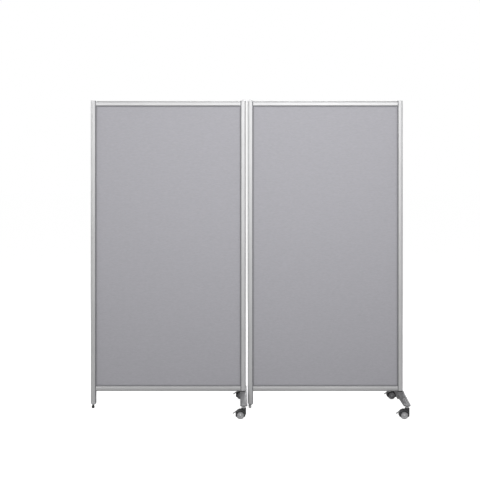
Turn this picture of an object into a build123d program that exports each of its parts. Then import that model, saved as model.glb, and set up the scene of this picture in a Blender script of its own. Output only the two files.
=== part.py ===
from build123d import *
import math
import os

# Partition wall: two framed panel modules, a and b, side by side and hinged to each other.
# Each module stands on a levelling glide under its left post and on a cast foot with two
# swivel castors under its right post. +X runs along the wall, -Y is the front, Z = 0 the floor.

# ---------------------------------------------------------------- frame
module_width = 1000.0  # over the two posts of one module
frame_top = 1980.0
frame_bottom = 110.0  # underside of the bottom rail
module_gap = 12.0  # clear gap between the two modules
post_end = 114.0  # lower end of the post on the castor foot
profile_depth = 30.0  # frame extrusion, front to back; its outer side is a half round
profile_body = 29.0  # full-depth part of the extrusion, across the frame's face
lip_width = 5.5  # thinner lips beside the infill
lip_wall = 1.6
profile_wall = 1.8
groove_depth = 8.0
shoulder_radius = 2.5

# ---------------------------------------------------------------- infill
core_thickness = 16.0
cover_thickness = 1.0
gasket_thickness = 1.0
gasket_lip = 2.0  # how far the gasket reaches past the extrusion's lips
gasket_cover = 1.2  # gasket over the lips of the posts and the top rail, down the leg too
infill_edge_gap = 1.0  # board edge to groove floor

# ---------------------------------------------------------------- corner joints
corner_block_length = 40.0
corner_screw_radius = 3.0
corner_screw_length = 34.0
corner_screw_head_radius = 5.0
corner_screw_head_height = 4.0
hex_socket_radius = 1.7
access_hole_radius = 5.6

# ---------------------------------------------------------------- caps, leg and glide
cap_thickness = 2.5
cap_plug_clearance = 1.0  # end of the cap's plug to the corner screw's head
leg_end = 36.0  # lower end of the leg tube
leg_cap_thickness = 12.0
leg_cap_chamfer = 7.0
leg_plug_length = 25.0
glide_radius = 9.0
glide_height = 18.0
glide_edge = 5.0
glide_nut_radius = 8.0
glide_stud_radius = 4.0
glide_stud_top = 62.0
glide_nut_height = 4.0

# ---------------------------------------------------------------- foot casting
foot_reach = 240.0  # post axis to castor stem axis
arm_half_width = 21.5
hub_top = 108.0
arm_top_at_post = 105.0
arm_top_at_tip = 87.0
arm_under = 77.0
arm_edge_radius = 3.0
stem_boss_radius = 14.0
hub_half_length = 20.0
hub_under = 62.0
hub_slope_length = 45.0
casting_wall = 4.0
rib_width = 3.5
rib_height = 2.6
rib_spacing = 11.0
rib_count = 3
foot_bolt_radius = 5.0
foot_bolt_length = 80.0
foot_bolt_head_radius = 8.0
foot_bolt_head_height = 10.0
foot_bolt_wall = 4.2  # insert's wall outside the bolt
foot_insert_length = 60.0

# ---------------------------------------------------------------- castors
wheel_radius = 25.0
wheel_width = 17.0
wheel_edge = 2.5
wheel_dish = 2.0
wheel_rim = 7.0
wheel_hub_radius = 8.0
wheel_side_gap = 1.0
castor_trail = 20.0
web_half_width = 4.5
hood_wall = 4.0
hood_flange = 2.0  # hood's side plate beside the wheel's rim
hood_window_radius = 21.0  # opening in the side plate
hood_wheel_gap = 1.2
hood_skirt_height = 16.0  # lower edge of the hood above the floor
hood_edge_radius = 1.2
neck_radius = 15.0
neck_top = 66.0
axle_radius = 3.0
axle_head_radius = 5.0
axle_head_height = 1.5
stem_radius = 5.0
stem_collar_radius = 9.0
stem_pin_radius = 5.0
stem_pin_length = 30.0
stem_pin_chamfer = 1.0
stem_thread_length = 8.0
pedal_angle = 150.0  # where the pedal's pivot sits round the wheel axis
pedal_pin_radius = 1.5
pedal_boss_radius = 3.2
pedal_half_width = 8.0
pedal_length = 19.0
pedal_thickness = 3.5
pedal_drop = 12.0  # how far the tread slopes down from pivot to tip
pedal_lug_width = 3.0

# ---------------------------------------------------------------- link between the modules
top_link_thickness = 3.0
link_half_width = 9.0
pivot_shoulder_radius = 4.0
pivot_thread_radius = 2.5
pivot_head_radius = 7.0
pivot_head_height = 3.0
bottom_link_thickness = 3.0
bottom_link_half_width = 10.0
bottom_link_eye_radius = 10.5
bottom_link_bend = 3.5
bottom_link_web_gap = 1.5  # upright web beyond the foot bolt's head

# ---------------------------------------------------------------- fits
running_clearance = 0.08  # on the radius, shafts that turn or slide
assembly_clearance = 0.1  # between pieces of one body
moving_gap = 0.3  # between faces of pieces that move past each other
screw_clearance = 0.4  # on the radius, holes a screw passes through
screw_head_clearance = 1.0  # on the radius, holes a screw's head passes through
blind_end_gap = 1.0  # end of a screw or pin to the end of its blind hole

# ---------------------------------------------------------------- worked-out sizes
profile_radius = profile_depth / 2
profile_width = profile_body + lip_width
shoulder_at = profile_body - profile_radius  # end of the full depth, from the round side's axis
flat_at = profile_width - profile_radius  # ends of the lips, from the same axis
groove_floor_at = flat_at - groove_depth
chamber_flat_at = groove_floor_at - profile_wall
chamber_radius = profile_radius - profile_wall
infill_thickness = core_thickness + 2 * cover_thickness
groove_width = infill_thickness + 2 * gasket_thickness + 2 * assembly_clearance
infill_overlap = groove_depth - infill_edge_gap
lip_depth = groove_width + 2 * lip_wall

post_spacing = module_width - 2 * profile_radius
module_pitch = module_width + module_gap
hinge_spacing = module_gap + 2 * profile_radius  # right post of a to left post of b
half_foot = max(arm_half_width, profile_radius)
wall_length = profile_radius + module_pitch + post_spacing + half_foot
left_axis_a = profile_radius - wall_length / 2
left_axes = {"a": left_axis_a, "b": left_axis_a + module_pitch}

rail_length = post_spacing - 2 * flat_at
bottom_rail_axis = frame_bottom + profile_radius
top_rail_axis = frame_top - profile_radius
infill_bottom = frame_bottom + profile_width - infill_overlap
infill_top = frame_top - profile_width + infill_overlap
infill_width = rail_length + 2 * infill_overlap
bolt_offset = chamber_radius - foot_bolt_wall - foot_bolt_radius
cap_top = frame_top + cap_thickness
cap_plug_length = profile_radius - corner_screw_head_radius - cap_plug_clearance
leg_cap_under = leg_end - leg_cap_thickness
hood_inner = wheel_radius + hood_wheel_gap
hood_outer = hood_inner + hood_wall
wheel_inner_face = web_half_width + wheel_side_gap
wheel_outer_face = wheel_inner_face + wheel_width
hood_flange_face = wheel_outer_face + wheel_side_gap / 2
hood_half_width = hood_flange_face + hood_flange
pedal_pivot_radius = hood_outer + pedal_boss_radius + moving_gap
pedal_pivot_x = -castor_trail + pedal_pivot_radius * math.cos(math.radians(pedal_angle))
pedal_pivot_z = wheel_radius + pedal_pivot_radius * math.sin(math.radians(pedal_angle))

os.makedirs("parts", exist_ok=True)


# ---------------------------------------------------------------- sections
def d_outline(radius, flat):
    """A half round about the origin towards -X that runs on to a flat side at +X."""
    with BuildSketch() as outline:
        with BuildLine():
            Polyline((0, radius), (flat, radius), (flat, -radius), (0, -radius))
            ThreePointArc((0, -radius), (-radius, 0), (0, radius))
        make_face()
    return outline.sketch


def profile_section():
    """The frame extrusion: body, lips, one chamber, and the groove between the lips."""
    with BuildSketch() as section:
        add(d_outline(profile_radius, shoulder_at))
        fillet(section.vertices().group_by(Axis.X)[-1], shoulder_radius)
        with Locations((shoulder_at, 0)):
            Rectangle(2 * lip_width, lip_depth)
        add(d_outline(chamber_radius, chamber_flat_at), mode=Mode.SUBTRACT)
        with Locations((flat_at, 0)):
            Rectangle(2 * groove_depth, groove_width, mode=Mode.SUBTRACT)
    return section.sketch


def chamber_plug():
    """Section of what slides into the extrusion's chamber."""
    return d_outline(chamber_radius - assembly_clearance, chamber_flat_at - assembly_clearance)


def post_plane(axis_x, height, outward):
    """Plane across a post at a height; the section's round side faces outward (-1 or 1)."""
    return Plane(origin=(axis_x, 0, height), x_dir=(-outward, 0, 0), z_dir=(0, 0, 1))


def rail_plane(start_x, axis_z, upward):
    """Plane across a rail; the section's round side faces up (1) or down (-1)."""
    return Plane(origin=(start_x, 0, axis_z), x_dir=(0, 0, -upward), z_dir=(1, 0, 0))


def side_plane(x, y):
    """Vertical plane facing the front, its own origin on the floor below (x, y)."""
    return Plane(origin=(x, y, 0), x_dir=(1, 0, 0), z_dir=(0, -1, 0))


def arm_top(distance):
    """Height of the foot casting's top at a distance from the post axis."""
    slope = (arm_top_at_post - arm_top_at_tip) / (foot_reach - hub_half_length)
    return arm_top_at_post - slope * (distance - hub_half_length)


# ---------------------------------------------------------------- frame of one module
def build_posts(side, left_x):
    """Left post with its leg, and right post ending on the foot casting."""
    right_x = left_x + post_spacing
    posts = {"left_post": (left_x, leg_end, -1), "right_post": (right_x, post_end, 1)}
    for name, (axis_x, lower_end, outward) in posts.items():
        with BuildPart() as post:
            with BuildSketch(post_plane(axis_x, lower_end, outward)):
                add(profile_section())
            extrude(amount=frame_top - lower_end)
            for rail_axis in (bottom_rail_axis, top_rail_axis):
                outer = Plane(origin=(axis_x, 0, rail_axis), z_dir=(outward, 0, 0))
                with BuildSketch(outer):
                    Circle(access_hole_radius)
                extrude(amount=profile_radius, mode=Mode.SUBTRACT)
                with BuildSketch(outer):
                    Circle(corner_screw_radius + screw_clearance)
                extrude(amount=-flat_at, mode=Mode.SUBTRACT)
        post.part.label = f"{side}_{name}"
        export_step(post.part, f"parts/{side}_{name}.step")


def build_rails(side, left_x):
    """Top and bottom rail, cut square between the posts."""
    rails = {"top_rail": (top_rail_axis, 1), "bottom_rail": (bottom_rail_axis, -1)}
    for name, (axis_z, upward) in rails.items():
        with BuildPart() as rail:
            with BuildSketch(rail_plane(left_x + flat_at, axis_z, upward)):
                add(profile_section())
            extrude(amount=rail_length)
        rail.part.label = f"{side}_{name}"
        export_step(rail.part, f"parts/{side}_{name}.step")


def build_corners(side, left_x):
    """Blocks in the rail ends, with a tongue in the post's groove, and their screws."""
    right_x = left_x + post_spacing
    tongue_height = 2 * chamber_flat_at
    tongue_width = groove_width - 2 * assembly_clearance
    hole_depth = corner_screw_length - (flat_at - chamber_flat_at)
    corners = []
    for rail_axis, upward in ((bottom_rail_axis, -1), (top_rail_axis, 1)):
        corners.append((left_x, 1, rail_axis, upward))
        corners.append((right_x, -1, rail_axis, upward))

    with BuildPart() as blocks:
        for axis_x, inward, rail_axis, upward in corners:
            rail_end = axis_x + inward * flat_at
            with BuildSketch(rail_plane(rail_end, rail_axis, upward)):
                add(chamber_plug())
            extrude(amount=inward * corner_block_length)
            with BuildSketch(rail_plane(rail_end, rail_axis, upward)):
                Rectangle(tongue_height, tongue_width)
            extrude(amount=-inward * (groove_depth - assembly_clearance))
            with BuildSketch(rail_plane(axis_x, rail_axis, upward)):
                Circle(corner_screw_radius + running_clearance)
            extrude(amount=inward * (flat_at + hole_depth), mode=Mode.SUBTRACT)
    blocks.part.label = f"{side}_corner_blocks"
    export_step(blocks.part, f"parts/{side}_corner_blocks.step")

    with BuildPart() as screws:
        for axis_x, inward, rail_axis, upward in corners:
            seat = axis_x + inward * (chamber_flat_at - assembly_clearance)
            with BuildSketch(rail_plane(seat, rail_axis, upward)):
                Circle(corner_screw_radius)
            extrude(amount=inward * (corner_screw_length - blind_end_gap))
            with BuildSketch(rail_plane(seat, rail_axis, upward)):
                Circle(corner_screw_head_radius)
            extrude(amount=-inward * corner_screw_head_height)
            head_end = seat - inward * corner_screw_head_height
            with BuildSketch(rail_plane(head_end, rail_axis, upward)):
                RegularPolygon(hex_socket_radius, 6)
            extrude(amount=inward * corner_screw_head_height / 2, mode=Mode.SUBTRACT)
    screws.part.label = f"{side}_corner_screws"
    export_step(screws.part, f"parts/{side}_corner_screws.step")


# ---------------------------------------------------------------- infill of one module
def build_infill(side, left_x):
    """Core board with a cover on both faces, and the gasket strips that hold it."""
    middle_x = left_x + post_spacing / 2
    middle_z = (infill_bottom + infill_top) / 2
    infill_height = infill_top - infill_bottom
    middle = Plane(origin=(middle_x, 0, middle_z), x_dir=(1, 0, 0), z_dir=(0, -1, 0))

    with BuildPart() as core_board:
        with BuildSketch(middle):
            Rectangle(infill_width, infill_height)
        extrude(amount=core_thickness / 2, both=True)
    core_board.part.label = f"{side}_core_board"
    export_step(core_board.part, f"parts/{side}_core_board.step")

    for name, facing in (("front_cover", 1), ("rear_cover", -1)):
        with BuildPart() as cover:
            with BuildSketch(middle.offset(facing * core_thickness / 2)):
                Rectangle(infill_width, infill_height)
            extrude(amount=facing * cover_thickness)
        cover.part.label = f"{side}_{name}"
        export_step(cover.part, f"parts/{side}_{name}.step")

    strip = infill_overlap + gasket_lip
    clear_width = rail_length - 2 * gasket_lip
    clear_height = infill_height - 2 * strip
    lip_height = clear_height + 2 * gasket_lip
    edge_thickness = (lip_depth - infill_thickness) / 2 + gasket_cover
    lip_middle = post_spacing / 2 - shoulder_at - lip_width / 2
    with BuildPart() as gaskets:
        for facing in (1, -1):
            face = middle.offset(facing * infill_thickness / 2)
            with BuildSketch(face):
                with Locations((0, (infill_height - strip) / 2), (0, -(infill_height - strip) / 2)):
                    Rectangle(infill_width, strip)
                with Locations((-(infill_width - strip) / 2, 0), ((infill_width - strip) / 2, 0)):
                    Rectangle(strip, clear_height)
            extrude(amount=facing * gasket_thickness)
            with BuildSketch(face):
                Rectangle(rail_length - 2 * assembly_clearance, lip_height)
                Rectangle(clear_width, clear_height, mode=Mode.SUBTRACT)
            extrude(amount=facing * edge_thickness)
            with BuildSketch(middle.offset(facing * lip_depth / 2)):
                with Locations((0, lip_width / 2)):
                    Rectangle(rail_length + 2 * lip_width, lip_height + lip_width)
                Rectangle(clear_width, clear_height, mode=Mode.SUBTRACT)
                for lower_end, way in ((leg_end, -1), (post_end, 1)):
                    with Locations((way * lip_middle, (lower_end + frame_top) / 2 - middle_z)):
                        Rectangle(lip_width, frame_top - lower_end)
            extrude(amount=facing * gasket_cover)
    gaskets.part.label = f"{side}_gaskets"
    export_step(gaskets.part, f"parts/{side}_gaskets.step")


# ---------------------------------------------------------------- caps, leg and glide
def build_top_caps(side, left_x):
    """Thin caps on both posts, each with a plug and a threaded hole on the post's axis."""
    with BuildPart() as top_caps:
        for axis_x, outward in ((left_x, -1), (left_x + post_spacing, 1)):
            with BuildSketch(post_plane(axis_x, frame_top, outward)):
                add(d_outline(profile_radius, flat_at))
            extrude(amount=cap_thickness)
            with BuildSketch(post_plane(axis_x, frame_top, outward)):
                add(chamber_plug())
            extrude(amount=-cap_plug_length)
            with BuildSketch(post_plane(axis_x, cap_top, outward)):
                Circle(pivot_thread_radius)
            extrude(amount=-(cap_thickness + cap_plug_length), mode=Mode.SUBTRACT)
        top_faces = top_caps.faces().filter_by(Axis.Z).group_by(Axis.Z)[-1]
        outer_edges = [face.outer_wire().edges() for face in top_faces]
        chamfer([edge for edges in outer_edges for edge in edges], cap_thickness / 3)
    top_caps.part.label = f"{side}_top_caps"
    export_step(top_caps.part, f"parts/{side}_top_caps.step")


def build_leg_end(side, left_x):
    """Chamfered end cap of the leg, and the glide whose stud runs in it."""
    with BuildPart() as leg_cap:
        with BuildSketch(post_plane(left_x, leg_end, -1)):
            add(d_outline(profile_radius, flat_at))
        extrude(amount=-leg_cap_thickness)
        chamfer(leg_cap.faces().sort_by(Axis.Z)[0].edges(), leg_cap_chamfer)
        with BuildSketch(post_plane(left_x, leg_end, -1)):
            add(chamber_plug())
        extrude(amount=leg_plug_length)
        with BuildSketch(post_plane(left_x, leg_cap_under, -1)):
            Circle(glide_stud_radius + running_clearance)
        extrude(amount=leg_cap_thickness + leg_plug_length, mode=Mode.SUBTRACT)
    leg_cap.part.label = f"{side}_leg_cap"
    export_step(leg_cap.part, f"parts/{side}_leg_cap.step")

    with BuildPart() as glide:
        with BuildSketch(Plane(origin=(left_x, 0, 0))):
            Circle(glide_radius)
        extrude(amount=glide_height - glide_nut_height)
        fillet(glide.edges().group_by(Axis.Z)[0], glide_edge)
        fillet(glide.edges().group_by(Axis.Z)[-1], glide_edge / 3)
        with BuildSketch(Plane(origin=(left_x, 0, glide_height - glide_nut_height))):
            RegularPolygon(glide_nut_radius, 6)
        extrude(amount=glide_nut_height)
        with BuildSketch(Plane(origin=(left_x, 0, glide_height))):
            Circle(glide_stud_radius)
        extrude(amount=glide_stud_top - glide_height)
        chamfer(glide.edges().group_by(Axis.Z)[-1], glide_stud_radius / 5)
    glide.part.label = f"{side}_glide"
    export_step(glide.part, f"parts/{side}_glide.step")


# ---------------------------------------------------------------- castor foot
def build_foot(side, post_x, head_seat):
    """Casting with a front and a rear arm, its insert in the post, and the bolt between."""
    bolt_x = post_x + bolt_offset
    profile_plane = Plane(origin=(post_x, 0, 0), x_dir=(0, 1, 0), z_dir=(1, 0, 0))
    tip = foot_reach + arm_half_width
    slope_end = hub_half_length + hub_slope_length
    pocket_start = hub_half_length + casting_wall
    pocket_end = foot_reach - stem_boss_radius - casting_wall

    with BuildPart() as foot_casting:
        with BuildSketch(profile_plane):
            for way in (-1, 1):
                Polygon(
                    (0, hub_under),
                    (way * hub_half_length, hub_under),
                    (way * slope_end, arm_under),
                    (way * tip, arm_under),
                    (way * tip, arm_top(tip)),
                    (way * hub_half_length, arm_top_at_post),
                    (way * profile_radius, hub_top),
                    (0, hub_top),
                    align=None,
                )
        extrude(amount=arm_half_width, both=True)
        with BuildSketch(Plane(origin=(post_x, 0, hub_under))):
            SlotCenterToCenter(2 * foot_reach, 2 * arm_half_width, rotation=90)
        extrude(amount=hub_top - hub_under, mode=Mode.INTERSECT)
        rims = foot_casting.edges().filter_by(GeomType.ELLIPSE).group_by(Axis.Z)[-1]
        long_edges = [
            edge
            for edge in foot_casting.edges().filter_by(GeomType.LINE)
            if edge.length > foot_reach / 2 and edge.center().Z > arm_top(foot_reach)
        ]
        fillet(rims + long_edges, arm_edge_radius)

        for way in (-1, 1):
            for column in (-1, 1):
                inner = rib_width / 2 if column > 0 else -rib_width / 2
                outer = column * (arm_half_width - casting_wall)
                with BuildSketch(Plane(origin=(post_x + inner, 0, 0), x_dir=(0, 1, 0), z_dir=(1, 0, 0))):
                    Polygon(
                        (way * pocket_start, hub_under),
                        (way * pocket_start, arm_top(pocket_start) - casting_wall),
                        (way * pocket_end, arm_top(pocket_end) - casting_wall),
                        (way * pocket_end, hub_under),
                        align=None,
                    )
                extrude(amount=outer - inner, mode=Mode.SUBTRACT)
            for rib in range(rib_count):
                rib_x = post_x + (rib - (rib_count - 1) / 2) * rib_spacing - rib_width / 2
                rib_start = hub_half_length + 2 * rib_width
                rib_end = foot_reach
                with BuildSketch(Plane(origin=(rib_x, 0, 0), x_dir=(0, 1, 0), z_dir=(1, 0, 0))):
                    Polygon(
                        (way * rib_start, arm_top(rib_start) - rib_height),
                        (way * (rib_start + 2 * rib_height), arm_top(rib_start) + rib_height),
                        (way * (rib_end - 2 * rib_height), arm_top(rib_end) + rib_height),
                        (way * rib_end, arm_top(rib_end) - rib_height),
                        align=None,
                    )
                extrude(amount=rib_width)
            with BuildSketch(Plane(origin=(post_x, way * foot_reach, arm_under))):
                Circle(stem_radius)
            extrude(amount=stem_thread_length, mode=Mode.SUBTRACT)
        with BuildSketch(Plane(origin=(bolt_x, 0, hub_under))):
            Circle(foot_bolt_radius + screw_clearance)
        extrude(amount=hub_top - hub_under, mode=Mode.SUBTRACT)
    foot_casting.part.label = f"{side}_foot_casting"
    export_step(foot_casting.part, f"parts/{side}_foot_casting.step")

    bolt_top = head_seat + foot_bolt_length
    with BuildPart() as foot_insert:
        with BuildSketch(post_plane(post_x, hub_top, 1)):
            add(d_outline(profile_radius, flat_at))
        extrude(amount=post_end - hub_top)
        with BuildSketch(post_plane(post_x, post_end, 1)):
            add(chamber_plug())
        extrude(amount=foot_insert_length)
        with BuildSketch(Plane(origin=(bolt_x, 0, hub_top))):
            Circle(foot_bolt_radius + assembly_clearance)
        extrude(amount=post_end + foot_insert_length - hub_top, mode=Mode.SUBTRACT)
        with BuildSketch(rail_plane(post_x, bottom_rail_axis, -1)):
            Circle(corner_screw_head_radius + screw_head_clearance)
        extrude(amount=-profile_radius, mode=Mode.SUBTRACT)
        with BuildSketch(rail_plane(post_x, bottom_rail_axis, -1)):
            Circle(corner_screw_head_radius + screw_head_clearance)
        extrude(amount=-chamber_flat_at, mode=Mode.SUBTRACT)
    foot_insert.part.label = f"{side}_foot_insert"
    export_step(foot_insert.part, f"parts/{side}_foot_insert.step")

    with BuildPart() as foot_bolt:
        with BuildSketch(Plane(origin=(bolt_x, 0, head_seat))):
            Circle(foot_bolt_radius)
        extrude(amount=bolt_top - head_seat)
        with BuildSketch(Plane(origin=(bolt_x, 0, head_seat))):
            Circle(foot_bolt_head_radius)
        extrude(amount=-foot_bolt_head_height)
        with BuildSketch(Plane(origin=(bolt_x, 0, head_seat - foot_bolt_head_height))):
            RegularPolygon(foot_bolt_head_radius / 2, 6)
        extrude(amount=foot_bolt_head_height / 2, mode=Mode.SUBTRACT)
    foot_bolt.part.label = f"{side}_foot_bolt"
    export_step(foot_bolt.part, f"parts/{side}_foot_bolt.step")


# ---------------------------------------------------------------- castor
def build_castor(name, stem_x, stem_y):
    """Twin-wheel castor with its stem axis at (stem_x, stem_y), trailing towards -X."""
    axle_x = stem_x - castor_trail
    middle = side_plane(axle_x, stem_y)
    stem_plane = Plane(origin=(stem_x, stem_y, 0))

    with BuildPart() as stem:
        with BuildSketch(stem_plane.offset(arm_under)):
            Circle(stem_radius - assembly_clearance)
        extrude(amount=stem_thread_length - assembly_clearance)
        with BuildSketch(stem_plane.offset(neck_top + moving_gap)):
            Circle(stem_collar_radius)
        extrude(amount=arm_under - neck_top - moving_gap)
        with BuildSketch(stem_plane.offset(neck_top + moving_gap)):
            Circle(stem_pin_radius)
        extrude(amount=-(stem_pin_length - blind_end_gap))
        chamfer(stem.edges().group_by(Axis.Z)[0], stem_pin_chamfer)
    stem.part.label = f"{name}_stem"
    export_step(stem.part, f"parts/{name}_stem.step")

    with BuildPart() as hood:
        with BuildSketch(middle):
            with Locations((0, wheel_radius)):
                Circle(hood_outer)
        extrude(amount=hood_half_width, both=True)
        fillet(hood.edges().filter_by(GeomType.CIRCLE), hood_edge_radius)
        with BuildSketch(stem_plane.offset(wheel_radius)):
            Circle(neck_radius)
        extrude(amount=neck_top - wheel_radius)
        fillet(hood.edges().group_by(Axis.Z)[-1], hood_edge_radius)
        for way in (-1, 1):
            with BuildSketch(middle.offset(way * web_half_width)):
                with Locations((0, wheel_radius)):
                    Circle(hood_inner)
            extrude(amount=way * (hood_flange_face - web_half_width), mode=Mode.SUBTRACT)
            with BuildSketch(middle.offset(way * hood_flange_face)):
                with Locations((0, wheel_radius)):
                    Circle(hood_window_radius)
            extrude(amount=way * hood_flange, mode=Mode.SUBTRACT)
        with BuildSketch(Plane(origin=(axle_x, stem_y, hood_skirt_height))):
            Rectangle(3 * hood_outer, 3 * hood_half_width)
        extrude(amount=-2 * hood_outer, mode=Mode.SUBTRACT)
        with BuildSketch(stem_plane.offset(neck_top)):
            Circle(stem_pin_radius + running_clearance)
        extrude(amount=-stem_pin_length, mode=Mode.SUBTRACT)
        with BuildSketch(middle):
            with Locations((0, wheel_radius)):
                Circle(axle_radius)
        extrude(amount=web_half_width, both=True, mode=Mode.SUBTRACT)
        for way in (-1, 1):
            lug_plane = side_plane(stem_x, stem_y - way * (pedal_half_width + moving_gap))
            with BuildSketch(lug_plane):
                with Locations((pedal_pivot_x, pedal_pivot_z)):
                    Circle(pedal_boss_radius)
                Polygon(
                    (pedal_pivot_x, pedal_pivot_z + pedal_boss_radius),
                    (pedal_pivot_x + 2 * pedal_boss_radius, pedal_pivot_z + pedal_boss_radius),
                    (pedal_pivot_x + 2 * pedal_boss_radius, pedal_pivot_z - pedal_boss_radius),
                    (pedal_pivot_x, pedal_pivot_z - pedal_boss_radius),
                    align=None,
                )
                with Locations((-castor_trail, wheel_radius)):
                    Circle(hood_inner + hood_wall / 2, mode=Mode.SUBTRACT)
                with Locations((pedal_pivot_x, pedal_pivot_z)):
                    Circle(pedal_pin_radius + running_clearance, mode=Mode.SUBTRACT)
            extrude(amount=way * pedal_lug_width)
    hood.part.label = f"{name}_hood"
    export_step(hood.part, f"parts/{name}_hood.step")

    with BuildPart() as axle:
        with BuildSketch(middle):
            with Locations((0, wheel_radius)):
                Circle(axle_radius)
        extrude(amount=wheel_outer_face + moving_gap, both=True)
        for way in (-1, 1):
            with BuildSketch(middle.offset(way * (wheel_outer_face + moving_gap))):
                with Locations((0, wheel_radius)):
                    Circle(axle_head_radius)
            extrude(amount=way * axle_head_height)
        fillet(axle.edges().filter_by(GeomType.CIRCLE).group_by(Axis.Y)[0], axle_head_height / 2)
        fillet(axle.edges().filter_by(GeomType.CIRCLE).group_by(Axis.Y)[-1], axle_head_height / 2)
    axle.part.label = f"{name}_axle"
    export_step(axle.part, f"parts/{name}_axle.step")

    pivot = (pedal_pivot_x, pedal_pivot_z)
    tip_x = pedal_pivot_x - pedal_length
    tip_z = pedal_pivot_z - pedal_drop
    with BuildPart() as pedal:
        with BuildSketch(side_plane(stem_x, stem_y)):
            with Locations(pivot):
                Circle(pedal_boss_radius)
            Polygon(
                (pedal_pivot_x, pedal_pivot_z + pedal_boss_radius),
                (tip_x, tip_z + pedal_thickness / 2),
                (tip_x, tip_z - pedal_thickness / 2),
                (pedal_pivot_x, pedal_pivot_z - pedal_boss_radius),
                align=None,
            )
        extrude(amount=pedal_half_width, both=True)
        fillet(pedal.edges().group_by(Axis.X)[0], pedal_thickness / 3)
        with BuildSketch(side_plane(stem_x, stem_y)):
            with Locations(pivot):
                Circle(pedal_pin_radius)
        extrude(amount=pedal_half_width + moving_gap + pedal_lug_width, both=True)
    pedal.part.label = f"{name}_pedal"
    export_step(pedal.part, f"parts/{name}_pedal.step")

    for wheel_name, way in (("right_wheel", 1), ("left_wheel", -1)):
        with BuildPart() as wheel:
            with BuildSketch(middle.offset(way * wheel_inner_face)):
                with Locations((0, wheel_radius)):
                    Circle(wheel_radius)
            extrude(amount=way * wheel_width)
            fillet(wheel.edges().filter_by(GeomType.CIRCLE), wheel_edge)
            with BuildSketch(middle.offset(way * wheel_outer_face)):
                with Locations((0, wheel_radius)):
                    Circle(wheel_radius - wheel_rim)
                    Circle(wheel_hub_radius, mode=Mode.SUBTRACT)
            extrude(amount=-way * wheel_dish, mode=Mode.SUBTRACT)
            with BuildSketch(middle.offset(way * wheel_inner_face)):
                with Locations((0, wheel_radius)):
                    Circle(axle_radius + running_clearance)
            extrude(amount=way * wheel_width, mode=Mode.SUBTRACT)
        wheel.part.label = f"{name}_{wheel_name}"
        export_step(wheel.part, f"parts/{name}_{wheel_name}.step")


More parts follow.
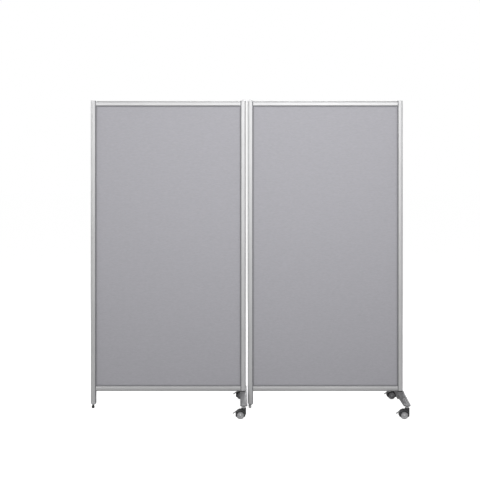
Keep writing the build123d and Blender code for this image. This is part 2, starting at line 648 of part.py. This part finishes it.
# ---------------------------------------------------------------- link between the modules
def build_links(right_x_a, left_x_b):
    """Top link plate with its screw and pivot, and the bottom link under module a's foot."""
    top_plane = Plane(origin=(0, 0, cap_top))
    middle_x = (right_x_a + left_x_b) / 2
    with BuildPart() as top_link:
        with BuildSketch(top_plane):
            with Locations((middle_x, 0)):
                SlotCenterToCenter(hinge_spacing, 2 * link_half_width)
            with Locations((right_x_a, 0)):
                Circle(pivot_thread_radius + screw_clearance, mode=Mode.SUBTRACT)
            with Locations((left_x_b, 0)):
                Circle(pivot_shoulder_radius + running_clearance, mode=Mode.SUBTRACT)
        extrude(amount=top_link_thickness)
        with BuildSketch(top_plane):
            with Locations((middle_x, 0)):
                Rectangle(hinge_spacing, 3 * link_half_width, align=(Align.MIN, Align.CENTER))
        extrude(amount=moving_gap, mode=Mode.SUBTRACT)
        chamfer(top_link.faces().sort_by(Axis.Z)[-1].outer_wire().edges(), top_link_thickness / 5)
    top_link.part.label = "top_link"
    export_step(top_link.part, "parts/top_link.step")

    link_top = cap_top + top_link_thickness
    with BuildPart() as cap_screw:
        with BuildSketch(Plane(origin=(right_x_a, 0, link_top))):
            Circle(pivot_head_radius)
        extrude(amount=pivot_head_height)
        fillet(cap_screw.edges().group_by(Axis.Z)[-1], pivot_head_height / 2)
        with BuildSketch(Plane(origin=(right_x_a, 0, link_top))):
            Circle(pivot_thread_radius - assembly_clearance / 2)
        extrude(amount=-(top_link_thickness + cap_thickness + cap_plug_length / 2))
        with BuildSketch(Plane(origin=(right_x_a, 0, link_top + pivot_head_height))):
            RegularPolygon(hex_socket_radius, 6)
        extrude(amount=-pivot_head_height / 2, mode=Mode.SUBTRACT)
    cap_screw.part.label = "cap_screw"
    export_step(cap_screw.part, "parts/cap_screw.step")

    head_under = link_top + moving_gap
    with BuildPart() as hinge_pin:
        with BuildSketch(Plane(origin=(left_x_b, 0, head_under))):
            Circle(pivot_head_radius)
        extrude(amount=pivot_head_height)
        fillet(hinge_pin.edges().group_by(Axis.Z)[-1], pivot_head_height / 2)
        with BuildSketch(Plane(origin=(left_x_b, 0, cap_top))):
            Circle(pivot_shoulder_radius)
        extrude(amount=head_under - cap_top)
        with BuildSketch(Plane(origin=(left_x_b, 0, cap_top))):
            Circle(pivot_thread_radius - assembly_clearance / 2)
        extrude(amount=-(cap_thickness + cap_plug_length / 2))
        with BuildSketch(Plane(origin=(left_x_b, 0, head_under + pivot_head_height))):
            RegularPolygon(hex_socket_radius, 6)
        extrude(amount=-pivot_head_height / 2, mode=Mode.SUBTRACT)
    hinge_pin.part.label = "hinge_pin"
    export_step(hinge_pin.part, "parts/hinge_pin.step")

    lower = (glide_height + leg_cap_under - bottom_link_thickness) / 2
    bolt_x = right_x_a + bolt_offset
    web_x = bolt_x + foot_bolt_head_radius + bottom_link_web_gap + bottom_link_thickness
    flange_start = bolt_x - foot_bolt_head_radius
    with BuildPart() as bottom_link:
        with BuildSketch(side_plane(0, 0)):
            with BuildLine():
                FilletPolyline(
                    (flange_start, hub_under),
                    (web_x, hub_under),
                    (web_x, lower + bottom_link_thickness),
                    (left_x_b, lower + bottom_link_thickness),
                    radius=bottom_link_bend,
                )
                offset(amount=bottom_link_thickness, side=Side.RIGHT, kind=Kind.INTERSECTION)
            make_face()
        extrude(amount=bottom_link_half_width, both=True)
        with BuildSketch(Plane(origin=(left_x_b, 0, lower))):
            Circle(bottom_link_eye_radius)
        extrude(amount=bottom_link_thickness)
        with BuildSketch(Plane(origin=(left_x_b, 0, lower))):
            Circle(glide_stud_radius + running_clearance)
        extrude(amount=bottom_link_thickness, mode=Mode.SUBTRACT)
        with BuildSketch(Plane(origin=(bolt_x, 0, hub_under))):
            Circle(foot_bolt_radius + screw_clearance)
        extrude(amount=-bottom_link_thickness, mode=Mode.SUBTRACT)
    bottom_link.part.label = "bottom_link"
    export_step(bottom_link.part, "parts/bottom_link.step")


# ---------------------------------------------------------------- whole wall
foot_bolt_seats = {"a": hub_under - bottom_link_thickness, "b": hub_under}
for side, left_x in left_axes.items():
    build_posts(side, left_x)
    build_rails(side, left_x)
    build_corners(side, left_x)
    build_infill(side, left_x)
    build_top_caps(side, left_x)
    build_leg_end(side, left_x)
    build_foot(side, left_x + post_spacing, foot_bolt_seats[side])
    for castor, way in (("front", -1), ("rear", 1)):
        build_castor(f"{side}_{castor}", left_x + post_spacing, way * foot_reach)
build_links(left_axes["a"] + post_spacing, left_axes["b"])
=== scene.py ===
import math

import bmesh
import bpy
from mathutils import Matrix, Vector, noise


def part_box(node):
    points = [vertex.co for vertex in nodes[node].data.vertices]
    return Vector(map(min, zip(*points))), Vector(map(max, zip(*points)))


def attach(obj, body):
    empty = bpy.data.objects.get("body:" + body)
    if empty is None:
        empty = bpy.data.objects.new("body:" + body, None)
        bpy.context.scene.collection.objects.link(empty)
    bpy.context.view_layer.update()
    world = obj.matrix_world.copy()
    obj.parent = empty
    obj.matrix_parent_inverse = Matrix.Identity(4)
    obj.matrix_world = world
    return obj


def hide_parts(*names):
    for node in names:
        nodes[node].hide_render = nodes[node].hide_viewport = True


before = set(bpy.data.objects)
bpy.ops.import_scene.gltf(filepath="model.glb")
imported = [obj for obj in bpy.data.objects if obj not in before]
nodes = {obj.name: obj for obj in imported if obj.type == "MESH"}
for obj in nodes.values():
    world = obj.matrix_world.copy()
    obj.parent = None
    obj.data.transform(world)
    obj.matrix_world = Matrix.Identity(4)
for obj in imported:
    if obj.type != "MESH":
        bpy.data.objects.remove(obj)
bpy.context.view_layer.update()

SIDES = ("a", "b")
CASTORS = [f"{side}_{place}" for side in SIDES for place in ("front", "rear")]


# ---------------------------------------------------------------- camera, floor and light
CAMERA_DISTANCE = 6.0  # from the wall's middle plane
CAMERA_HEIGHT = 1.6
CAMERA_X = -0.047
SENSOR_WIDTH = 36.0
FOCAL_LENGTH = 69.75
SHIFT_DOWN = 1 / 6
FLOOR_RADIUS = 40.0
FLOOR_SIDES = 96
FLOOR_BOUNCE = (0.35, 0.35, 0.35)
FLOOR_GLOW = 0.92
WORLD_LIGHT = 0.22
WHITE = (1.0, 1.0, 1.0, 1.0)


def make_camera():
    camera = bpy.data.objects.new("camera", bpy.data.cameras.new("camera"))
    bpy.context.collection.objects.link(camera)
    camera.location = (CAMERA_X, -CAMERA_DISTANCE, CAMERA_HEIGHT)
    camera.rotation_euler = (math.pi / 2, 0, 0)
    camera.data.lens = FOCAL_LENGTH
    camera.data.sensor_width = SENSOR_WIDTH
    camera.data.shift_y = -SHIFT_DOWN
    camera.data.clip_end = 200.0
    bpy.context.scene.camera = camera


def make_light(name, place, aim, size, power):
    light = bpy.data.lights.new(name, "AREA")
    light.shape = "DISK"
    light.size = size
    light.energy = power
    lamp = bpy.data.objects.new(name, light)
    lamp.location = place
    lamp.rotation_euler = (Vector(aim) - Vector(place)).to_track_quat("-Z", "Y").to_euler()
    bpy.context.collection.objects.link(lamp)


def make_world():
    """Soft white light all round; the camera sees it as plain white."""
    world = bpy.data.worlds.new("studio")
    bpy.context.scene.world = world
    world.use_nodes = True
    tree = world.node_tree
    light = tree.nodes["Background"]
    light.inputs["Color"].default_value = WHITE
    light.inputs["Strength"].default_value = WORLD_LIGHT
    seen = tree.nodes.new("ShaderNodeBackground")
    seen.inputs["Color"].default_value = WHITE
    path = tree.nodes.new("ShaderNodeLightPath")
    mix = tree.nodes.new("ShaderNodeMixShader")
    tree.links.new(path.outputs["Is Camera Ray"], mix.inputs["Fac"])
    tree.links.new(light.outputs["Background"], mix.inputs[1])
    tree.links.new(seen.outputs["Background"], mix.inputs[2])
    tree.links.new(mix.outputs["Shader"], tree.nodes["World Output"].inputs["Surface"])


def make_floor(material):
    bpy.ops.mesh.primitive_circle_add(vertices=FLOOR_SIDES, radius=FLOOR_RADIUS, fill_type="NGON")
    floor = bpy.context.object
    floor.name = "floor"
    floor.data.materials.append(material)


# ---------------------------------------------------------------- materials
# A noise scale is counted in a metre, and a depth is in metres.
DRAW_LINES = 9000.0  # across the extrusion
DRAW_LINES_ALONG = 6.0
DRAW_LINE_DEPTH = 0.00004
TINT_CLOUDS = 3.0
THREADS = 620.0
THREAD_WAVE = 0.32  # wave scale at which each unit is about one thread
THREAD_DEPTH = 0.00012
SLUBS_ACROSS = 400.0
SLUBS_ALONG = 60.0
SCUFFS = 70.0
PEBBLES = 900.0
PEBBLE_DEPTH = 0.00015
CAST_CLOUDS = 30.0
MARKS_ACROSS = 400.0
MARKS_UPRIGHT = 1500.0
MARK_DEPTH = 0.000004


def new_material(name, base, rough, metallic=0.0):
    """A material with its principled shader, and the shader node."""
    material = bpy.data.materials.new(name)
    material.use_nodes = True
    shader = material.node_tree.nodes["Principled BSDF"]
    shader.inputs["Base Color"].default_value = (*base, 1.0)
    shader.inputs["Roughness"].default_value = rough
    shader.inputs["Metallic"].default_value = metallic
    return material, shader


def object_coordinates(tree, scale):
    """The object's own coordinates in metres, times a scale for each axis."""
    where = tree.nodes.new("ShaderNodeTexCoord")
    mapping = tree.nodes.new("ShaderNodeMapping")
    mapping.inputs["Scale"].default_value = scale
    tree.links.new(where.outputs["Object"], mapping.inputs["Vector"])
    return mapping.outputs["Vector"]


def noise_value(tree, scale, detail=4.0, roughness=0.5):
    node = tree.nodes.new("ShaderNodeTexNoise")
    node.inputs["Scale"].default_value = 1.0
    node.inputs["Detail"].default_value = detail
    node.inputs["Roughness"].default_value = roughness
    tree.links.new(object_coordinates(tree, scale), node.inputs["Vector"])
    return node.outputs["Fac"]


def remap(tree, value, low_out, high_out, low_in=0.3, high_in=0.7):
    node = tree.nodes.new("ShaderNodeMapRange")
    node.inputs["From Min"].default_value = low_in
    node.inputs["From Max"].default_value = high_in
    node.inputs["To Min"].default_value = low_out
    node.inputs["To Max"].default_value = high_out
    tree.links.new(value, node.inputs["Value"])
    return node.outputs["Result"]


def mix_colours(tree, factor, first, second):
    node = tree.nodes.new("ShaderNodeMix")
    node.data_type = "RGBA"
    node.inputs["A"].default_value = (*first, 1.0)
    node.inputs["B"].default_value = (*second, 1.0)
    tree.links.new(factor, node.inputs["Factor"])
    return node.outputs["Result"]


def shade_base(tree, shader, value, base, darkest, lightest):
    """Shade the base colour by a noise value, between two multiples of it."""
    darker = tuple(darkest * part for part in base)
    lighter = tuple(lightest * part for part in base)
    shade = mix_colours(tree, remap(tree, value, 0.0, 1.0), darker, lighter)
    tree.links.new(shade, shader.inputs["Base Color"])


def add_bump(tree, shader, height, distance, strength=1.0):
    node = tree.nodes.new("ShaderNodeBump")
    node.inputs["Distance"].default_value = distance
    node.inputs["Strength"].default_value = strength
    tree.links.new(height, node.inputs["Height"])
    tree.links.new(node.outputs["Normal"], shader.inputs["Normal"])


def anodised(name, along):
    """Satin anodised extrusion with fine draw lines along one axis."""
    material, shader = new_material(name, (0.58, 0.58, 0.585), 0.50, 0.35)
    tree = material.node_tree
    lines = [DRAW_LINES, DRAW_LINES, DRAW_LINES]
    lines["xyz".index(along)] = DRAW_LINES_ALONG
    streaks = noise_value(tree, lines, 3.0)
    tree.links.new(remap(tree, streaks, 0.44, 0.58), shader.inputs["Roughness"])
    clouds = noise_value(tree, (TINT_CLOUDS, TINT_CLOUDS, TINT_CLOUDS), 3.0)
    tint = mix_colours(tree, remap(tree, clouds, 0.0, 1.0), (0.56, 0.56, 0.565), (0.62, 0.62, 0.625))
    tree.links.new(tint, shader.inputs["Base Color"])
    add_bump(tree, shader, streaks, DRAW_LINE_DEPTH)
    return material


def woven(name, base):
    """Tight plain-weave cloth with a little shade from thread to thread."""
    material, shader = new_material(name, base, 0.85)
    shader.inputs["Sheen Weight"].default_value = 0.25
    shader.inputs["Sheen Roughness"].default_value = 0.5
    tree = material.node_tree
    waves = []
    for scale in ((THREADS, THREADS, 0.0), (0.0, 0.0, THREADS)):
        wave = tree.nodes.new("ShaderNodeTexWave")
        wave.wave_type = "BANDS"
        wave.bands_direction = "X" if scale[0] else "Z"
        wave.inputs["Scale"].default_value = THREAD_WAVE
        wave.inputs["Distortion"].default_value = 1.2
        wave.inputs["Detail"].default_value = 1.0
        tree.links.new(object_coordinates(tree, scale), wave.inputs["Vector"])
        waves.append(wave.outputs["Fac"])
    weave = tree.nodes.new("ShaderNodeMath")
    weave.operation = "MULTIPLY"
    tree.links.new(waves[0], weave.inputs[0])
    tree.links.new(waves[1], weave.inputs[1])
    slubs = noise_value(tree, (SLUBS_ALONG, SLUBS_ALONG, SLUBS_ACROSS), 3.0)
    shade_base(tree, shader, slubs, base, 0.93, 1.05)
    add_bump(tree, shader, weave.outputs["Value"], THREAD_DEPTH, 0.5)
    return material


def moulded(name, base, rough, grain=1800.0, depth=0.00006):
    """Moulded plastic or rubber with a fine grain and slight scuffing."""
    material, shader = new_material(name, base, rough)
    tree = material.node_tree
    fine = noise_value(tree, (grain, grain, grain), 2.0)
    scuffs = noise_value(tree, (SCUFFS, SCUFFS, SCUFFS), 5.0, 0.65)
    tree.links.new(remap(tree, scuffs, rough - 0.08, rough + 0.12), shader.inputs["Roughness"])
    shade_base(tree, shader, scuffs, base, 0.88, 1.12)
    add_bump(tree, shader, fine, depth)
    return material


def cast_metal(name, base):
    """Sand-cast and lacquered aluminium: pebbled, with soft cloudy shade."""
    material, shader = new_material(name, base, 0.45, 0.7)
    tree = material.node_tree
    pebbles = noise_value(tree, (PEBBLES, PEBBLES, PEBBLES), 4.0)
    clouds = noise_value(tree, (CAST_CLOUDS, CAST_CLOUDS, CAST_CLOUDS), 4.0)
    shade_base(tree, shader, clouds, base, 0.88, 1.08)
    tree.links.new(remap(tree, clouds, 0.38, 0.52), shader.inputs["Roughness"])
    add_bump(tree, shader, pebbles, PEBBLE_DEPTH)
    return material


def plated(name, base, rough, metallic=1.0):
    """Plated or turned steel with faint machining marks."""
    material, shader = new_material(name, base, rough, metallic)
    tree = material.node_tree
    marks = noise_value(tree, (MARKS_ACROSS, MARKS_ACROSS, MARKS_UPRIGHT), 2.0)
    tree.links.new(remap(tree, marks, rough * 0.94, rough * 1.1), shader.inputs["Roughness"])
    add_bump(tree, shader, marks, MARK_DEPTH)
    return material


def floor_paint():
    """Pale studio floor: near white to the camera, and it throws only a little light back up."""
    material, shader = new_material("floor_paint", FLOOR_BOUNCE, 0.9)
    shader.inputs["Specular IOR Level"].default_value = 0.0
    tree = material.node_tree
    seen = tree.nodes.new("ShaderNodeEmission")
    seen.inputs["Strength"].default_value = FLOOR_GLOW
    both = tree.nodes.new("ShaderNodeAddShader")
    path = tree.nodes.new("ShaderNodeLightPath")
    mix = tree.nodes.new("ShaderNodeMixShader")
    tree.links.new(shader.outputs["BSDF"], both.inputs[0])
    tree.links.new(seen.outputs["Emission"], both.inputs[1])
    tree.links.new(path.outputs["Is Camera Ray"], mix.inputs["Fac"])
    tree.links.new(shader.outputs["BSDF"], mix.inputs[1])
    tree.links.new(both.outputs["Shader"], mix.inputs[2])
    tree.links.new(mix.outputs["Shader"], tree.nodes["Material Output"].inputs["Surface"])
    return material


def dress(names, material):
    """Give CAD nodes their material."""
    for name in names:
        mesh = nodes[name].data
        mesh.materials.clear()
        mesh.materials.append(material)


frame_x = anodised("anodised_along_x", "x")
frame_z = anodised("anodised_along_z", "z")
cloth_material = woven("woven_grey", (0.40, 0.395, 0.425))
# Gasket strips: a real rubber seal, but their dark grey is partly painted shade, standing for the
# recess shadow along the frame's inner edges
gasket_with_painted_shade = moulded("gasket_rubber_painted_shade", (0.20, 0.20, 0.21), 0.6)
insert_plastic = moulded("insert_plastic", (0.03, 0.03, 0.032), 0.5)
cap_plastic = moulded("cap_plastic", (0.52, 0.52, 0.53), 0.42)
black_plastic = moulded("glide_black", (0.02, 0.02, 0.02), 0.45)
grey_plastic = moulded("glide_grey", (0.45, 0.45, 0.45), 0.45)
hood_plastic = moulded("hood_plastic", (0.045, 0.045, 0.047), 0.45)
pedal_plastic = moulded("pedal_plastic", (0.42, 0.42, 0.42), 0.4)
wheel_plastic = moulded("wheel_plastic", (0.44, 0.44, 0.45), 0.45)
tyre_rubber = moulded("tyre_rubber", (0.29, 0.29, 0.295), 0.6)
cast = cast_metal("cast_foot", (0.28, 0.28, 0.285))
steel = plated("zinc_plate", (0.62, 0.62, 0.63), 0.36, 0.8)
chrome = plated("chrome_plate", (0.95, 0.95, 0.95), 0.2, 0.5)
board = moulded("core_board_paper", (0.55, 0.45, 0.33), 0.8, 400.0, 0.0002)

for side in SIDES:
    dress([f"{side}_left_post", f"{side}_right_post"], frame_z)
    dress([f"{side}_top_rail", f"{side}_bottom_rail"], frame_x)
    dress([f"{side}_core_board"], board)
    # the gaskets' dark grey paints the shadow line between the frame and the cloth
    dress([f"{side}_gaskets"], gasket_with_painted_shade)
    dress([f"{side}_top_caps", f"{side}_leg_cap"], cap_plastic)
    dress([f"{side}_foot_casting"], cast)
    dress([f"{side}_foot_insert"], insert_plastic)
    dress([f"{side}_corner_blocks", f"{side}_corner_screws", f"{side}_foot_bolt"], steel)
dress(["a_glide"], black_plastic)
dress(["b_glide"], grey_plastic)
dress(["top_link", "bottom_link", "cap_screw", "hinge_pin"], steel)
for castor in CASTORS:
    dress([f"{castor}_hood"], hood_plastic)
    dress([f"{castor}_pedal"], pedal_plastic)
    dress([f"{castor}_stem", f"{castor}_axle"], chrome)


# ---------------------------------------------------------------- pieces
EDGE_ROUND = 0.0004
EDGE_ANGLE = 50  # degrees; edges sharper than this are rounded
CLOTH_THICKNESS = 0.0006
CLOTH_RELIEF = 0.00015  # how unevenly the stretched cloth lies
CLOTH_COLUMNS = 48
CLOTH_ROWS = 92
TYRE_DEPTH = 0.0045  # tread surface to the rim
TYRE_SHOULDER = 0.0028
TYRE_CROWN = 0.0003
TYRE_BEVEL = 0.0006
TYRE_TUCK = 0.0004  # how far the tyre reaches in past the rim's edge
HUB_RADIUS = 0.0078
HUB_SHOULDER = 0.0009
BORE_RADIUS = 0.0031
RIM_DISH = 0.0024
RIM_LIP = 0.0022
RIM_BEVEL = 0.0006
RIM_SET_BACK = 0.0002  # rim's face behind the tyre's side
RIM_BACK_AT_BORE = 0.0003
RIM_BACK_AT_EDGE = 0.0009
DISH_SLOPE = 0.0008
TURN_STEPS = 72
SHOULDER_STEPS = 4
SPOKES = 6
SPOKE_AT_HUB = 0.0022  # half width
SPOKE_AT_RIM = 0.0014
SPOKE_INSET = 0.0004  # top of a spoke, in from its foot
SPOKE_SINK = 0.0002  # foot of a spoke, below the dish
SPOKE_SET_BACK = 0.0008
WHEEL_CREASE = 35  # degrees
PEDAL_BOSS = 0.0032
PEDAL_THICKNESS = 0.0035
PEDAL_HALF_WIDTH = 0.0068
TREAD_RADIUS = 0.0008
TREAD_PLACES = (0.40, 0.56, 0.72, 0.88)  # shares of the way from the pivot to the tip
TREAD_RINGS = 5  # on each side of a bar's middle
TREAD_STEPS = 12
TREAD_CREASE = 50  # degrees


def soften(names):
    """Round the sharp edges of CAD nodes a little, so that they catch the light."""
    for name in names:
        bevel = nodes[name].modifiers.new("edge_round", "BEVEL")
        bevel.width = EDGE_ROUND
        bevel.segments = 2
        bevel.limit_method = "ANGLE"
        bevel.angle_limit = math.radians(EDGE_ANGLE)


def add_piece(name, mesh, material, body, crease=None):
    """An object on a body, smooth but for edges sharper than the crease angle."""
    piece = bpy.data.objects.new(name, mesh)
    bpy.context.collection.objects.link(piece)
    mesh.materials.append(material)
    mesh.shade_smooth()
    if crease:
        mesh.set_sharp_from_angle(angle=math.radians(crease))
    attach(piece, body)
    return piece


def finished_mesh(name, shape):
    """The mesh of a shape, with its normals facing out."""
    bmesh.ops.recalc_face_normals(shape, faces=shape.faces)
    mesh = bpy.data.meshes.new(name)
    shape.to_mesh(mesh)
    shape.free()
    return mesh


def cloth(side, face, outward):
    """One cover: cloth stretched over the core board, with its edges under the gasket."""
    node = f"{side}_{face}_cover"
    near, far = (Vector(corner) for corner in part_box(node))
    outer_y = far.y if outward > 0 else near.y
    shape = bmesh.new()
    rows = []
    for row in range(CLOTH_ROWS + 1):
        z = near.z + (far.z - near.z) * row / CLOTH_ROWS
        line = []
        for column in range(CLOTH_COLUMNS + 1):
            x = near.x + (far.x - near.x) * column / CLOTH_COLUMNS
            relief = CLOTH_RELIEF * (1 + noise.noise((3 * x, outward, 2 * z)))
            line.append(shape.verts.new((x, outer_y - outward * relief, z)))
        rows.append(line)
    for lower, upper in zip(rows, rows[1:]):
        for column in range(CLOTH_COLUMNS):
            shape.faces.new((lower[column], lower[column + 1], upper[column + 1], upper[column]))
    mesh = finished_mesh(f"{side}_{face}_cloth", shape)
    if mesh.polygons[0].normal.y * outward < 0:
        mesh.flip_normals()
    piece = add_piece(f"{side}_{face}_cloth", mesh, cloth_material, f"module_{side}")
    thickness = piece.modifiers.new("thickness", "SOLIDIFY")
    thickness.thickness = CLOTH_THICKNESS
    thickness.offset = -1.0
    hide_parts(node)


def turned(profile, centre, outward):
    """A ring turned about the Y axis; the profile is a closed row of (radius, offset) points."""
    shape = bmesh.new()
    rings = []
    for step in range(TURN_STEPS):
        turn = 2 * math.pi * step / TURN_STEPS
        ring = []
        for radius, offset in profile:
            place = (radius * math.cos(turn), outward * offset, radius * math.sin(turn))
            ring.append(shape.verts.new(centre + Vector(place)))
        rings.append(ring)
    for ring, following in zip(rings, rings[1:] + rings[:1]):
        for point in range(len(profile)):
            other = (point + 1) % len(profile)
            shape.faces.new((ring[point], ring[other], following[other], following[point]))
    return shape


BOX_FACES = ((0, 1, 3, 2), (4, 5, 7, 6), (0, 1, 5, 4), (2, 3, 7, 6), (0, 2, 6, 4), (1, 3, 7, 5))


def add_spokes(shape, centre, outward, outer, base, top):
    """Raised ribs across a rim's dish, from the hub out to a radius, narrower outwards."""
    for spoke in range(SPOKES):
        turn = 2 * math.pi * spoke / SPOKES
        along = Vector((math.cos(turn), 0, math.sin(turn)))
        across = Vector((-math.sin(turn), 0, math.cos(turn)))
        corners = []
        for height, inset in ((base, 0.0), (top, SPOKE_INSET)):
            lift = Vector((0, outward * height, 0))
            for reach, half in ((HUB_RADIUS, SPOKE_AT_HUB), (outer, SPOKE_AT_RIM)):
                for way in (-1, 1):
                    place = along * reach + across * way * (half - inset)
                    corners.append(shape.verts.new(centre + place + lift))
        for face in BOX_FACES:
            shape.faces.new([corners[corner] for corner in face])


def castor_wheel(castor, side):
    """A soft tyre with a crowned tread on a dished, ribbed rim."""
    node = f"{castor}_{side}_wheel"
    body = f"wheel_{castor}_{side}"
    near, far = (Vector(corner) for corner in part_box(node))
    outward = -1 if side == "right" else 1
    radius = (far.z - near.z) / 2
    width = far.y - near.y
    inner_y = far.y if outward < 0 else near.y
    centre = Vector(((near.x + far.x) / 2, inner_y, (near.z + far.z) / 2))
    rim = radius - TYRE_DEPTH

    tread = [(rim - TYRE_TUCK, TYRE_BEVEL), (rim + TYRE_BEVEL, 0.0)]
    tread.append((radius - TYRE_SHOULDER, 0.0))
    shoulder = []
    for step in range(SHOULDER_STEPS + 1):
        bend = math.pi / 2 * step / SHOULDER_STEPS
        rise = TYRE_SHOULDER * math.sin(bend) - TYRE_CROWN
        shoulder.append((radius - TYRE_SHOULDER + rise, TYRE_SHOULDER * (1 - math.cos(bend))))
    tread += shoulder + [(radius, width / 2)]
    tread += [(reach, width - offset) for reach, offset in reversed(shoulder)]
    tread += [(rim + TYRE_BEVEL, width), (rim - TYRE_TUCK, width - TYRE_BEVEL)]
    mesh = finished_mesh("tyre", turned(tread, centre, outward))
    tyre = add_piece(f"{castor}_{side}_tyre", mesh, tyre_rubber, body, WHEEL_CREASE)
    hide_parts(node)

    lip = rim - RIM_LIP
    dish = width - RIM_DISH
    face = width - RIM_SET_BACK
    disc = [(BORE_RADIUS, RIM_BACK_AT_BORE), (rim, RIM_BACK_AT_EDGE)]
    disc += [(rim, width - RIM_BEVEL), (rim - RIM_BEVEL, face), (lip, face)]
    disc += [(lip - DISH_SLOPE, dish), (HUB_RADIUS + DISH_SLOPE, dish)]
    disc += [(HUB_RADIUS, width - HUB_SHOULDER), (HUB_RADIUS - RIM_BEVEL, face), (BORE_RADIUS, face)]
    shape = turned(disc, centre, outward)
    add_spokes(shape, centre, outward, lip, dish - SPOKE_SINK, width - SPOKE_SET_BACK)
    mesh = finished_mesh("rim", shape)
    add_piece(f"{castor}_{side}_rim", mesh, wheel_plastic, body, WHEEL_CREASE)


def pedal_treads(castor):
    """Raised bars across the top of the brake pedal."""
    near, far = (Vector(corner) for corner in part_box(f"{castor}_pedal"))
    middle_y = (near.y + far.y) / 2
    pivot = Vector((far.x - PEDAL_BOSS, middle_y, far.z))
    tip = Vector((near.x, middle_y, near.z + PEDAL_THICKNESS))
    shape = bmesh.new()
    for place in TREAD_PLACES:
        centre = pivot.lerp(tip, place)
        rings = []
        for end in range(-TREAD_RINGS, TREAD_RINGS + 1):
            reach = TREAD_RADIUS * math.sqrt(1 - (end / (TREAD_RINGS + 0.5)) ** 6)
            offset_y = PEDAL_HALF_WIDTH * end / TREAD_RINGS
            ring = []
            for step in range(TREAD_STEPS):
                turn = 2 * math.pi * step / TREAD_STEPS
                offset = Vector((reach * math.cos(turn), offset_y, reach * math.sin(turn)))
                ring.append(shape.verts.new(centre + offset))
            rings.append(ring)
        for ring, following in zip(rings, rings[1:]):
            for step in range(TREAD_STEPS):
                other = (step + 1) % TREAD_STEPS
                shape.faces.new((ring[step], ring[other], following[other], following[step]))
        shape.faces.new(rings[0])
        shape.faces.new(rings[-1])
    mesh = finished_mesh("pedal_treads", shape)
    add_piece(f"{castor}_pedal_treads", mesh, pedal_plastic, f"pedal_{castor}", TREAD_CREASE)


for side in SIDES:
    cloth(side, "front", -1)
    cloth(side, "rear", 1)
    soften([f"{side}_left_post", f"{side}_right_post", f"{side}_top_rail", f"{side}_bottom_rail"])
    soften([f"{side}_foot_casting", f"{side}_foot_insert", f"{side}_glide"])
for castor in CASTORS:
    castor_wheel(castor, "right")
    castor_wheel(castor, "left")
    pedal_treads(castor)
    soften([f"{castor}_hood", f"{castor}_pedal", f"{castor}_axle"])
soften(["top_link", "bottom_link", "cap_screw", "hinge_pin"])

make_camera()
make_world()
make_floor(floor_paint())
make_light("key", (0.8, -2.7, 2.4), (0.4, 0, 1.5), 2.2, 62.0)
make_light("fill", (-1.7, -2.7, 2.3), (-0.5, 0, 1.5), 2.0, 33.0)
make_light("back", (0.5, 3.5, 3.0), (0, 0, 1.2), 2.4, 115.0)
make_light("side_left", (-4.5, -0.6, 2.4), (-1, 0, 1.6), 1.6, 42.0)
make_light("side_right", (4.5, -0.6, 2.4), (1, 0, 1.6), 1.6, 34.0)
make_light("top", (0, 0, 5.0), (0, 0, 2), 2.0, 14.0)
bpy.context.scene.view_settings.view_transform = "Standard"
